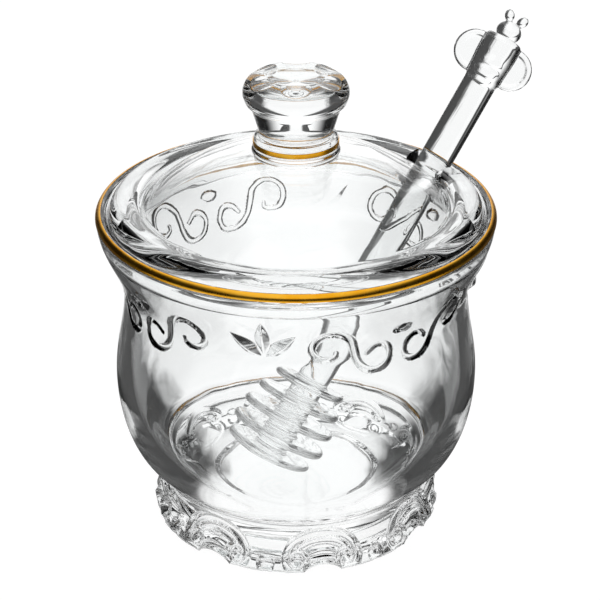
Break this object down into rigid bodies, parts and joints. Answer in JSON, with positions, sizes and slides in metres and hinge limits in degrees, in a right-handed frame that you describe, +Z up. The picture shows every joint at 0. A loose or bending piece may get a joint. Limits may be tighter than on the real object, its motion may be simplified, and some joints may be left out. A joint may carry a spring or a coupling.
{
  "type": "honey pot",
  "caption": "Clear glass honey pot with a scroll foot and gilded lip, a loose notched lid with a knob, and a ringed glass dipper that ends in a bee.",
  "frame": {"origin": "on the pot's axis, at the level of the table that the foot stands on", "axes": "+Z up along the pot's axis; the picture looks along +Y, and the lid's notch and the dipper lie 33 degrees from +X towards +Y"},
  "size_m": [0.1168, 0.105, 0.1298],
  "materials": {
    "pot_glass": "clear pressed soda-lime glass, fire-polished",
    "lid_glass": "clear pressed soda-lime glass, fire-polished",
    "dipper_glass": "clear lampworked borosilicate glass",
    "gilding": "fired liquid gold, bright"
  },
  "bodies": {
    "pot": {"pot_bowl": "pot_glass", "pot_foot": "pot_glass", "rim_gilding": "gilding"},
    "lid": {"lid": "lid_glass", "lid_knob": "lid_glass", "knob_gilding": "gilding"},
    "dipper": {"dipper_rod": "dipper_glass", "dipper_ring_1": "dipper_glass", "dipper_ring_2": "dipper_glass", "dipper_ring_3": "dipper_glass", "dipper_ring_4": "dipper_glass", "dipper_ring_5": "dipper_glass", "bee_body": "dipper_glass", "bee_head": "dipper_glass", "bee_wing_left": "dipper_glass", "bee_wing_right": "dipper_glass", "bee_antenna_left": "dipper_glass", "bee_antenna_right": "dipper_glass"}
  },
  "joints": [
    {"name": "lid_lift", "type": "slide", "parent": "pot", "child": "lid", "axis": [0, 0, 1], "range_m": [0, 0.06]},
    {"name": "dipper_lift", "type": "slide", "parent": "pot", "child": "dipper", "axis": [0.493, 0.3201, 0.809], "range_m": [0, 0.04]}
  ]
}
